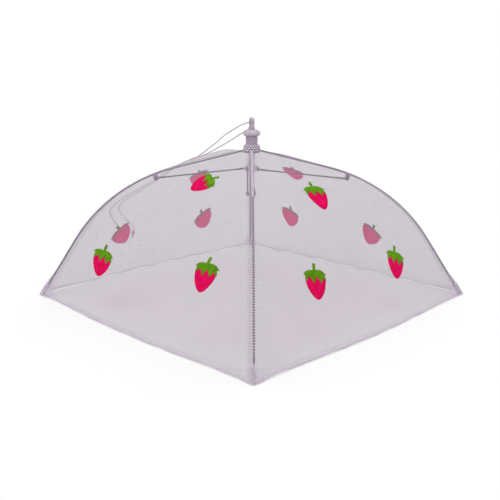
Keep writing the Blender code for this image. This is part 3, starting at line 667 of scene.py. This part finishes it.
def over_rib(index, offset, run, lift, fall=1.0):
    """A place over a rib, to one side of it and above the net, falling away as the net does."""
    centre, across, outward, slope = rib_frame(index, run)
    over = NET_LIFT + tip_lift(run) + lift
    over -= (math.hypot(offset, FOLD_ROUND) - FOLD_ROUND) * math.sin(slope) * fall
    place = centre + across * offset + outward * over
    place.z = max(place.z, 0.2 * MM)
    return place


def around_rib(index, run, turn, distance):
    """A place around a rib's wire, this turn away from its outward side."""
    centre, across, outward, _ = rib_frame(index, run)
    return centre + (outward * math.cos(turn) + across * math.sin(turn)) * distance


def seam_band(index, inner, outer, low, high):
    """The seam's folded edge beside a rib, between two offsets."""

    def point(across, down):
        run = low + (high - low) * down
        narrow = min(1, 0.5 + run / (60 * MM))
        offset = (inner + (outer - inner) * across) * narrow
        return beside_rib(index, offset, run, SEAM_LIFT), (offset, run)

    return grid("band", point, 3, 70, outer < inner)


def seam_cover(index):
    """Cloth folded over the wire, which hides it near the hub."""

    def point(across, down):
        run = SEAM_TOP_RUN + (COVER_END_RUN - SEAM_TOP_RUN) * down
        offset = COVER_HALF_WIDTH * (2 * across - 1)
        return over_rib(index, offset, run, COVER_LIFT), (offset, run)

    return grid("cover", point, 6, 40)


def seam_stitches(index):
    """Thread wrapped over the wire, each wrap a flat arc from one side to the other."""
    coords, uvs, faces = [], [], []
    run = 14 * MM
    while run < RIB_LENGTH - 16 * MM:
        first = len(coords)
        for step in range(-WRAP_STEPS, WRAP_STEPS + 1):
            for j, (aside, rise) in enumerate(((-1, 0), (0, 1), (1, 0), (0, -1))):
                place = run + WRAP_HALF_WIDTH * aside + WRAP_SLANT * step
                distance = WRAP_DISTANCE + WRAP_HALF_THICKNESS * rise
                coords.append(around_rib(index, place, WRAP_TURN * step, distance))
                uvs.append((step * 0.75 * MM, j / 4))
        last = len(coords) - 4
        for ring in range(first, last, 4):
            for j in range(4):
                a, b = ring + j, ring + (j + 1) % 4
                faces.append([a, b, b + 4, a + 4])
        faces.append([first + 3, first + 2, first + 1, first])
        faces.append([last, last + 1, last + 2, last + 3])
        run += WRAP_PITCH
    return mapped("wraps", coords, uvs, faces)


def herringbone(index):
    """Slanted stitches in two rows on the seam's folded edge."""
    ends = []
    run = 16 * MM
    while run < RIB_LENGTH - 3 * MM:
        for near, far in HERRINGBONE_ROWS:
            upper = beside_rib(index, near, run, HERRINGBONE_LIFT)
            lower = beside_rib(index, far, run + HERRINGBONE_SLANT, HERRINGBONE_LIFT)
            ends.append((upper, lower))
        run += WRAP_PITCH
    return stitches("herringbone", ends, HERRINGBONE_THICKNESS)


def pocket_mesh(index):
    """Cloth sewn over the cap on the rib's tip, with a round lower edge."""

    def point(across, down):
        side = 2 * across - 1
        offset = POCKET_HALF_WIDTH * side
        drop = POCKET_DROP * math.sqrt(max(0, 1 - side**4))
        run = RIB_LENGTH - POCKET_LENGTH + (POCKET_LENGTH + drop) * down
        return over_rib(index, offset, run, POCKET_LIFT, 0.9), (offset, run)

    return grid("pocket", point, 20, 14)


for index, name in enumerate(RIB_NAMES):
    body = f"rib_{name}"
    edge = seam_band(index, -0.9 * MM, -4.4 * MM, SEAM_TOP_RUN, RIB_LENGTH - 4 * MM)
    short_edge = seam_band(index, 0.9 * MM, 3.6 * MM, SEAM_TOP_RUN, 40 * MM)
    make(f"seam_{name}", joined("seam", [edge, short_edge]), TAPE, body)
    make(f"seam_cover_{name}", seam_cover(index), COVER, body)
    make(f"seam_stitches_{name}", seam_stitches(index), THREAD, body)
    make(f"seam_herringbone_{name}", herringbone(index), THREAD_DARK, body)
    make(f"pocket_{name}", pocket_mesh(index), POCKET, body)

# Fruit patches, in millimetres from the middle of a patch, tip down

BODY_OUTLINE = [
    (-10.8, 9.0), (-12.4, 5.8), (-12.9, 1.8), (-12.4, -2.4), (-11.0, -6.4), (-8.8, -10.2),
    (-6.2, -13.4), (-3.4, -15.8), (-1.0, -16.8), (1.2, -16.6), (3.6, -15.4), (6.2, -13.0),
    (8.8, -9.8), (11.0, -6.0), (12.5, -2.0), (13.0, 2.2), (12.2, 6.2), (9.8, 9.4), (5.0, 10.2),
    (0.0, 10.0), (-5.0, 10.2),
]  # fmt: skip
LEAF_OUTLINE = [
    (-14.6, 6.8), (-11.6, 9.8), (-7.2, 11.2), (-3.0, 11.0), (-1.9, 11.4), (-1.5, 14.6),
    (-0.8, 17.8), (2.4, 17.2), (1.7, 14.2), (1.4, 11.2), (5.6, 11.6), (10.2, 10.2), (15.2, 6.4),
    (11.8, 6.2), (13.6, 3.4), (13.4, 0.2), (9.9, 4.0), (6.4, -1.2), (1.7, 5.6), (-3.2, -1.2),
    (-7.3, 5.4), (-12.8, 0.6), (-12.9, 3.6), (-11.6, 6.2),
]  # fmt: skip

# Each patch: panel, place across from the panel's middle and run down, in mm, lean in degrees,
# and its width and height against the outlines above
PATCHES = (
    (0, -15, 143, -8, 1.22, 1.2), (0, -77, 229, -12, 1.05, 0.97), (0, 82, 235, -20, 1.14, 1.02),
    (3, 25, 119, -36, 1.2, 1.12), (3, 93, 219, 2, 0.98, 0.95), (3, -96, 235, -2, 1.32, 0.98),
    (2, -26, 156, -26, 1.1, 1.0), (2, -72, 229, -36, 1.08, 0.98), (2, 90, 228, -38, 1.02, 0.92),
    (1, 33, 141, 22, 1.25, 1.0), (1, 82, 225, 24, 1.02, 0.98), (1, -76, 230, 34, 1.06, 0.98),
)  # fmt: skip


# Each cloth of a patch: its outline, material, lift over the net and thickness
CLOTHS = {
    "body": (BODY_OUTLINE, BERRY, -0.3 * MM, 0.5 * MM),
    "leaf": (LEAF_OUTLINE, LEAF_GREEN, -0.1 * MM, 0.55 * MM),
}
BORDER_STEP = 1.5 * MM
INNER_STEP = 2.4 * MM
BORDER_MARGIN = 0.8 * MM
MERGE_DISTANCE = 1e-7


def placed(outline, across, run, lean, wide, tall):
    """An outline in the panel's own measures: across from the panel's middle, and run down."""
    cos, sin = math.cos(math.radians(lean)), math.sin(math.radians(lean))
    out = []
    for x, y in outline:
        x, y = x * wide, y * tall
        out.append(Vector(((across + x * cos - y * sin) * MM, (run - x * sin - y * cos) * MM)))
    return out


def inside(point, outline):
    """Whether a point lies within an outline."""
    hit = False
    for a, b in zip(outline, outline[1:] + outline[:1]):
        if (a.y > point.y) != (b.y > point.y):
            hit ^= point.x < (b.x - a.x) * (point.y - a.y) / (b.y - a.y) + a.x
    return hit


def patch_mesh(panel, side, outline, lift):
    """The part of a flat outline that lies on one half of a panel, laid on the net."""
    border = []
    for a, b in zip(outline, outline[1:] + outline[:1]):
        count = max(1, round((b - a).length / BORDER_STEP))
        border += [a.lerp(b, i / count) for i in range(count)]
    count = len(border)
    left, right = min(p.x for p in border), max(p.x for p in border)
    top, low = min(p.y for p in border), max(p.y for p in border)
    points = list(border)
    for i in range(1, int((right - left) / INNER_STEP) + 1):
        for j in range(1, int((low - top) / INNER_STEP) + 1):
            place = Vector((left + i * INNER_STEP, top + j * INNER_STEP))
            near = min((place - p).length for p in border)
            if inside(place, border) and near > BORDER_MARGIN:
                points.append(place)
    edges = [(i, (i + 1) % count) for i in range(count)]
    places, _, triangles, *_ = delaunay_2d_cdt(points, edges, [], 1, MERGE_DISTANCE)
    work = bmesh.new()
    corners = [work.verts.new((p.x, p.y, 0)) for p in places]
    for triangle in triangles:
        work.faces.new([corners[i] for i in triangle])
    bmesh.ops.bisect_plane(
        work,
        geom=list(work.verts) + list(work.edges) + list(work.faces),
        plane_co=(0, 0, 0),
        plane_no=(side, 0, 0),
        clear_inner=True,
        dist=MERGE_DISTANCE,
    )
    uv = work.loops.layers.uv.new("UVMap")
    for face in work.faces:
        for loop in face.loops:
            loop[uv].uv = loop.vert.co.xy
    for corner in work.verts:
        corner.co = panel_point(panel, corner.co.x, corner.co.y, lift)
    outward = panel_point(panel, 0, 150 * MM, 1 * MM) - panel_point(panel, 0, 150 * MM)
    work.normal_update()
    if work.faces and sum(f.normal.dot(outward) for f in work.faces) < 0:
        bmesh.ops.reverse_faces(work, faces=work.faces)
    mesh = bpy.data.meshes.new("patch")
    work.to_mesh(mesh)
    work.free()
    return mesh


for panel, own, other, side in HALVES:
    for number, (on_panel, *measures) in enumerate(PATCHES):
        if on_panel != panel:
            continue
        for kind, (outline, material, lift, thickness) in CLOTHS.items():
            mesh = patch_mesh(panel, side, placed(outline, *measures), lift)
            if not mesh.polygons:
                continue
            patch = make(f"patch_{kind}_{number}_{own}", mesh, material)
            solid = thicken(patch, thickness)
            # The body's second shell, its inner face, gets the painted-light colour.
            if kind == "body":
                mesh.materials.append(BERRY_INNER_PAINTED_LIGHT)
                solid.material_offset = 1
            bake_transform(patch)

# Hub. The crown's outlines, beads and flutes are in millimetres from the axis and over the ribs'
# pivot, and the slots for the ribs in metres.

BEADS = 18
BEAD_ROWS = 5.5, 3.0, 0.5
BEAD_HALF_HEIGHT = 1.55
BEAD_RISE = 0.95
FLUTES = 20
FLUTE_DEPTH = 0.35
CROWN_STEPS = 160
NECK = [(6.85, 15.6), (6.85, 14.9)] + [(6.8, 14.4 - 0.9 * i) for i in range(9)]
SKIRT_RADIUS, SKIRT_TOP = 9.7, 6.7
SKIRT_STEPS, SKIRT_STEP = 30, 0.3134
CROWN_INSIDE = [
    (8.8, -2.4), (8.8, 0.8), (7.2, 0.8), (7.2, -2.4), (1.3, -2.4), (1.3, 8.5), (3.1, 8.5),
    (3.1, 15.6),
]  # fmt: skip
SLOT_WIDTH = 2.2 * MM
SLOT_DEPTH = 6.5 * MM
SLOT_TOP = 2.1 * MM


def bead(turn, height):
    """How far the skirt's beads stand out, from 0 to 1, in three staggered rows."""
    best = 0
    for row, middle in enumerate(BEAD_ROWS):
        place = turn * BEADS / (2 * math.pi) + 0.5 * (row % 2)
        near = 2 * abs(place - round(place))
        best = max(best, 1 - near**1.5 - abs((height - middle) / BEAD_HALF_HEIGHT) ** 1.5)
    return best**0.7


def skirt_outline():
    """The beaded skirt's plain shape: a cone that narrows faster where it meets the neck."""
    places = []
    for i in range(SKIRT_STEPS):
        height = SKIRT_TOP - SKIRT_STEP * i
        taper = 1.5 * max(0, (height - 0.5) / 5.5) + 1.2 * max(0, (height - 5.7) / 1.0) ** 2
        places.append((SKIRT_RADIUS - taper - 0.12 * max(0, 0.5 - height), height))
    return places


def crown_mesh():
    """The fluted neck and beaded skirt, hollow as the CAD crown is."""
    outer = NECK + skirt_outline()
    work = bmesh.new()
    rise = work.verts.layers.float.new("rise")
    rings = []
    for number, (radius, height) in enumerate(outer + CROWN_INSIDE):
        ring = []
        for i in range(CROWN_STEPS):
            turn = 2 * math.pi * i / CROWN_STEPS
            r = radius
            if 1 < number < len(NECK):
                r -= FLUTE_DEPTH * (1 - abs(math.sin(turn * FLUTES / 2)))
            elif number < len(outer):
                r += BEAD_RISE * bead(turn, height)
            place = Vector((r * MM * math.cos(turn), r * MM * math.sin(turn), height * MM))
            ring.append(work.verts.new(place))
            # rise sets the crown's painted shade in the grooves and its painted highlight on the
            # bead tops.
            ring[-1][rise] = bead(turn, height) if height < 6.6 else 0.4
        rings.append(ring)
    rings.append(rings[0])
    for a, b in zip(rings, rings[1:]):
        for i in range(CROWN_STEPS):
            j = (i + 1) % CROWN_STEPS
            work.faces.new((a[i], b[i], b[j], a[j]))
    bmesh.ops.recalc_face_normals(work, faces=work.faces)
    bmesh.ops.translate(work, verts=work.verts, vec=(0, 0, PIVOT_HEIGHT))
    mesh = bpy.data.meshes.new("crown")
    work.to_mesh(mesh)
    work.free()
    return mesh


def cut_slots(thing):
    """Cuts the four rib slots with exact Booleans, then drops the cutters."""
    for index in range(2):
        bpy.ops.mesh.primitive_cube_add(size=1)
        cutter = bpy.context.object
        cutter.scale = (50 * MM, SLOT_WIDTH, SLOT_DEPTH)
        cutter.rotation_euler = (0, 0, math.pi / 2 * index)
        cutter.location = (0, 0, PIVOT_HEIGHT + SLOT_TOP - SLOT_DEPTH / 2)
        bpy.context.view_layer.update()
        boolean = thing.modifiers.new("slot", "BOOLEAN")
        boolean.operation = "DIFFERENCE"
        boolean.solver = "EXACT"
        boolean.object = cutter
        bpy.context.view_layer.update()
        cut = thing.evaluated_get(bpy.context.evaluated_depsgraph_get())
        mesh = bpy.data.meshes.new_from_object(cut)
        thing.modifiers.clear()
        thing.data = mesh
        bpy.data.objects.remove(cutter, do_unlink=True)
    thing.data.set_sharp_from_angle(angle=math.radians(38))


crown = make("crown", crown_mesh(), CROWN, "hub", "hub_crown")
cut_slots(crown)

# Cords and knots

# Each pull cord's way in the air, in mm from the middle of the stub's cross hole, and then laid
# on the net, in shares across from the left rib to the panel's middle and down
CORD_FREE_RUNS = (
    (
        (-0.45, -0.8, 0), (-1.7, -2.95, 0), (-2.5, -3.85, 0), (-3.6, -4.3, 0), (-4.9, -4.2, -0.1),
        (-9, -1.9, -1.6), (-16.3, 3.5, -5.6), (-31, 11, -15.3), (-42, 16.5, -25),
    ),
    (
        (0.45, 0.8, 0), (1.7, 2.95, -0.1), (2.2, 4.4, -0.8), (1.85, 5.7, -2.0), (0.7, 6.7, -3.7),
        (-1.2, 7.2, -5.8), (-4.2, 7.2, -8.1), (-8, 7.6, -10.6), (-16.3, 9.5, -16),
        (-31, 13.2, -25.4),
    ),
)  # fmt: skip
CORD_LAID_RUNS = (
    (
        (0.5, 0.255), (0.5, 0.31), (0.5, 0.363), (0.47, 0.43), (0.39, 0.488), (0.28, 0.525),
        (0.19, 0.562), (0.18, 0.6), (0.29, 0.645), (0.41, 0.688),
    ),
    (
        (0.42, 0.2), (0.44, 0.27), (0.45, 0.335), (0.42, 0.405), (0.34, 0.468), (0.23, 0.508),
        (0.13, 0.55), (0.11, 0.605), (0.22, 0.662), (0.36, 0.712),
    ),
)  # fmt: skip
KNOT_ENTRIES = (0.515, 0.722), (0.49, 0.738)
KNOT_PLACE = 0.53, 0.745
KNOT_TAIL_PLACE = 0.55, 0.78
KNOT_SIZE = 2.6 * MM
KNOT_CORD_RADIUS = 0.75 * MM
KNOT_STEPS = 60
CORD_PANEL = 2
CORD_DIAMETER = 1.2 * MM
CORD_LIFT = CORD_DIAMETER / 2 + 0.15 * MM
CORD_STEP = 3.2 * MM
CORD_TOP_RUN = (11.4 * MM - PIVOT_RADIUS) / math.cos(START_SLOPE)
HOLE = Vector((0, 0, PIVOT_HEIGHT + 31.3 * MM))


def on_net(across, down, lift):
    """A place over the half panel behind the left rib, as high over it as the lift."""
    run = CORD_TOP_RUN + (RIB_LENGTH - CORD_TOP_RUN) * down
    x = (1 - across) * half_width(run)
    point = panel_point(CORD_PANEL, x, run)
    beside = panel_point(CORD_PANEL, x - 2 * MM, run)
    below = panel_point(CORD_PANEL, x, run + 2 * MM)
    outward = (beside - point).cross(below - point).normalized()
    return point + outward * lift * (1 if outward.z > 0 else -1)


def smooth_route(points):
    """An even row of places, about CORD_STEP apart, on a smooth curve through the points."""
    ends = [2 * points[0] - points[1]] + points + [2 * points[-1] - points[-2]]
    curve = [points[0]]
    for a, b, c, d in zip(ends, ends[1:], ends[2:], ends[3:]):
        for i in range(1, 17):
            t = i / 16
            bend = (2 * a - 5 * b + 4 * c - d) * t**2 + (3 * b - a - 3 * c + d) * t**3
            curve.append((2 * b + (c - a) * t + bend) / 2)
    length = sum((b - a).length for a, b in zip(curve, curve[1:]))
    spacing = length / round(length / CORD_STEP)
    route, walked = [curve[0]], 0
    for a, b in zip(curve, curve[1:]):
        walked += (b - a).length
        if walked >= spacing * len(route):
            route.append(b)
    route[-1] = curve[-1]
    return route


def knot_mesh(centre, size, radius, tails):
    """An overhand knot of round cord, pulled small, with its cut ends below."""
    path = []
    for i in range(KNOT_STEPS):
        t = 2 * math.pi * i / KNOT_STEPS
        x = math.sin(t) + 2 * math.sin(2 * t)
        y = math.cos(t) - 2 * math.cos(2 * t)
        z = -math.sin(3 * t)
        path.append(centre + Vector((x * 0.30 * size, z * 0.34 * size, y * 0.30 * size)))
    parts = [tube("loop", path, radius, closed=True)]
    parts += [tube("tail", tail, radius * 0.85) for tail in tails]
    return joined("knot", parts)


knot_centre = on_net(*KNOT_PLACE, KNOT_SIZE)
down_slope = (on_net(*KNOT_TAIL_PLACE, CORD_DIAMETER) - knot_centre).normalized()
tails = []
for bend in (-0.35, 0.3):
    sideways = Vector((0.5, 0.5, 0)) * bend
    tails.append([knot_centre + (down_slope + sideways * k / 5) * k * 1.3 * MM for k in range(7)])
knot_shape = knot_mesh(knot_centre, KNOT_SIZE, KNOT_CORD_RADIUS, tails)
knot = make("pull_knot_tied", knot_shape, CORD_PAINTED_LIGHT, "rib_left", "pull_knot")

for index, name in enumerate(("pull_cord_a", "pull_cord_b")):
    points = [HOLE + Vector(place) * MM for place in CORD_FREE_RUNS[index]]
    points += [on_net(across, down, CORD_LIFT) for across, down in CORD_LAID_RUNS[index]]
    points.append(on_net(*KNOT_ENTRIES[index], 2.2 * MM))
    points.append(knot_centre - down_slope * 1.2 * MM)
    route = smooth_route(points)
    shape = tube(name, route, CORD_DIAMETER / 2)
    strand = make(f"strand_{name[-1]}", shape, CORD, None, name)
    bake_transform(strand)

# The cord inside: two twisted strands from the hub down to the knot under the runner

DRAW_STRAND_OFFSET = 0.42 * MM
DRAW_STRAND_RADIUS = 0.45 * MM
DRAW_TWIST = 7 * MM
DRAW_STEPS = 40

top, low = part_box("draw_cord")[1][2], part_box("stop_knot")[1][2]
strands = []
for half in (0, 1):
    path = []
    for i in range(DRAW_STEPS + 1):
        z = top + (low - top) * i / DRAW_STEPS
        turn = math.pi * half + (top - z) / DRAW_TWIST * 2 * math.pi
        aside = DRAW_STRAND_OFFSET * math.cos(turn), DRAW_STRAND_OFFSET * math.sin(turn)
        path.append(Vector((*aside, z)))
    strands.append(tube("draw", path, DRAW_STRAND_RADIUS))
draw = make("draw_cord_strands", joined("draw", strands), CORD, None, "draw_cord")
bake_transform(draw)

stop_low, stop_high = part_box("stop_knot")
stop_shape = knot_mesh((Vector(stop_low) + Vector(stop_high)) / 2, 2.1 * MM, 0.7 * MM, [])
make("stop_knot_tied", stop_shape, CORD, "runner", "stop_knot")

# CAD nodes that stay


def paint(node, material):
    """Gives a CAD node its material."""
    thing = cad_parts[node]
    thing.data.materials.clear()
    thing.data.materials.append(material)


paint("hub_cap", MAUVE_PALE)
paint("finial", MAUVE)
paint("hub_tie_ring", WIRE)
paint("runner", RUNNER)
for name in RIB_NAMES:
    paint(f"rib_{name}", WIRE)
    paint(f"stretcher_{name}", WIRE)
    paint(f"tip_cap_{name}", CAP)
    paint(f"bracket_{name}", MAUVE_DARK)
    paint(f"rivet_{name}", RIVET)

# Stage, light and camera

# The floor is a large square. The camera sees it with a little glow, and the world at full
# strength, so that both come out white, while the world lights the cover at half strength.
FLOOR_CORNERS = (-1, -1, 0), (1, -1, 0), (1, 1, 0), (-1, 1, 0)
FLOOR_REACH = 6
FLOOR_GLOW = 0.12
WORLD_LIGHT, WORLD_SEEN = 0.5, 1.0

# The photo's camera: its focal length in pixels of the picture, place, and tilt down
SENSOR_WIDTH = 36
FOCAL_PIXELS, PICTURE_PIXELS = 695, 500
CAMERA_PLACE = Vector((-6.5, -795.3, 254.5)) * MM
CAMERA_TILT = math.radians(14.1)
CAMERA_TURN = math.radians(-0.33)


def camera_share(tree):
    """1 on rays that come from the camera or a reflection, and 0 on the rest."""
    path = tree.nodes.new("ShaderNodeLightPath")
    total = path.outputs["Is Camera Ray"]
    for kind in ("Is Glossy Ray", "Is Transmission Ray"):
        larger = tree.nodes.new("ShaderNodeMath")
        larger.operation = "MAXIMUM"
        tree.links.new(total, larger.inputs[0])
        tree.links.new(path.outputs[kind], larger.inputs[1])
        total = larger.outputs[0]
    return total


floor_mesh = bpy.data.meshes.new("floor")
corners = [Vector(place) * FLOOR_REACH for place in FLOOR_CORNERS]
floor_mesh.from_pydata(corners, [], [(0, 1, 2, 3)])
paper = Nodes("floor_paper")
tone = paper.ramp(paper.noise(3, 2, paper.coords()), (0.3, (0.89,) * 3), (0.7, (0.91,) * 3))
paper.link(tone, paper.shader.inputs["Base Color"])
paper.set(Roughness=0.9, Emission_Color=(1, 1, 1, 1))
glow = paper.math("MULTIPLY", camera_share(paper.tree), FLOOR_GLOW)
paper.link(glow, paper.shader.inputs["Emission Strength"])
floor = bpy.data.objects.new("floor", floor_mesh)
bpy.context.scene.collection.objects.link(floor)
floor_mesh.materials.append(paper.material)

world = bpy.data.worlds.new("studio")
bpy.context.scene.world = world
world.use_nodes = True
tree = world.node_tree
background = tree.nodes["Background"]
background.inputs["Color"].default_value = (1, 1, 1, 1)
level = tree.nodes.new("ShaderNodeMath")
level.operation = "MULTIPLY_ADD"
tree.links.new(camera_share(tree), level.inputs[0])
level.inputs[1].default_value = WORLD_SEEN - WORLD_LIGHT
level.inputs[2].default_value = WORLD_LIGHT
tree.links.new(level.outputs[0], background.inputs["Strength"])


def soft_sun(name, away, strength, spread):
    """An even light from a wide patch of sky in this direction."""
    data = bpy.data.lights.new(name, "SUN")
    data.energy = strength
    data.angle = math.radians(spread)
    lamp = bpy.data.objects.new(name, data)
    bpy.context.scene.collection.objects.link(lamp)
    lamp.location = away
    lamp.rotation_euler = (-Vector(away)).to_track_quat("-Z", "Y").to_euler()


soft_sun("key", (-0.45, -0.6, 1.5), 1.1, 50)
soft_sun("fill", (0.8, -0.5, 1.2), 0.35, 60)
soft_sun("back", (0.1, 0.9, 1.4), 0.3, 60)

camera_data = bpy.data.cameras.new("camera")
camera_data.sensor_width = SENSOR_WIDTH
camera_data.lens = SENSOR_WIDTH * FOCAL_PIXELS / PICTURE_PIXELS
camera_data.clip_start = 0.01
camera = bpy.data.objects.new("camera", camera_data)
bpy.context.scene.collection.objects.link(camera)
camera.location = CAMERA_PLACE
camera.rotation_euler = (math.radians(90) - CAMERA_TILT, 0, CAMERA_TURN)
bpy.context.scene.camera = camera
bpy.context.scene.view_settings.view_transform = "Standard"
